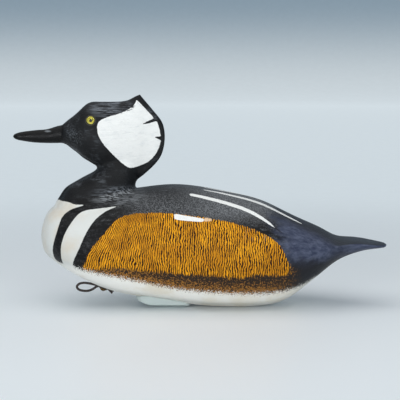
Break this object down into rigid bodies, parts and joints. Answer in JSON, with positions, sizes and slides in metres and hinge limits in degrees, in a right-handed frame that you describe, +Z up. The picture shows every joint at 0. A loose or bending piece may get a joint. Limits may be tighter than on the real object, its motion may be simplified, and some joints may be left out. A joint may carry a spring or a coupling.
{
  "type": "floating duck decoy",
  "caption": "Hollow carved and painted wooden diving-duck decoy with glass eyes, a ballast pad and a leather line loop; it floats or stands on a shelf.",
  "frame": {"origin": "on the surface the decoy stands on, under the middle of its length and width", "axes": "+X towards the tail, along the length; +Y across, towards the decoy's right side; +Z up"},
  "size_m": [0.373, 0.1282, 0.2113],
  "materials": {
    "hull_paint": "white oil paint over carved wood, stippled dark at the waterline",
    "back_paint": "satin black and slate oil paint over carved wood, with ochre combed flanks",
    "head_paint": "satin black oil paint over carved wood, with a white crest patch",
    "bill_paint": "satin black oil paint over hardwood",
    "dowel_wood": "bare hardwood",
    "steel": "galvanised",
    "putty": "painted oil putty",
    "lead": "white oil paint over cast lead",
    "brass": "dulled",
    "thong_leather": "dark oiled leather",
    "eye_glass": "polished clear glass",
    "iris_enamel": "yellow enamel behind the glass",
    "pupil_enamel": "black enamel behind the glass"
  },
  "bodies": {
    "decoy": {"hull_shell": "hull_paint", "back_shell": "back_paint", "head": "head_paint", "bill": "bill_paint", "neck_dowel": "dowel_wood", "shell_dowels": "dowel_wood", "neck_screw": "steel", "neck_washer": "steel", "seam_nails": "steel", "nail_putty": "putty", "ballast_pad": "lead", "ballast_screws": "brass", "loop_pin": "brass", "loop_washer": "brass", "eye_glass_left": "eye_glass", "eye_iris_left": "iris_enamel", "eye_pupil_left": "pupil_enamel", "eye_stem_left": "steel", "eye_putty_left": "putty", "eye_glass_right": "eye_glass", "eye_iris_right": "iris_enamel", "eye_pupil_right": "pupil_enamel", "eye_stem_right": "steel", "eye_putty_right": "putty"},
    "thong": {"thong_tab": "thong_leather", "line_loop": "thong_leather"}
  },
  "joints": [
    {"name": "thong_swing", "type": "hinge", "parent": "decoy", "child": "thong", "pos_m": [-0.097, 0, 0.01945], "axis": [-0.3311, 0, -0.9436], "range_deg": [-90, 90]}
  ]
}
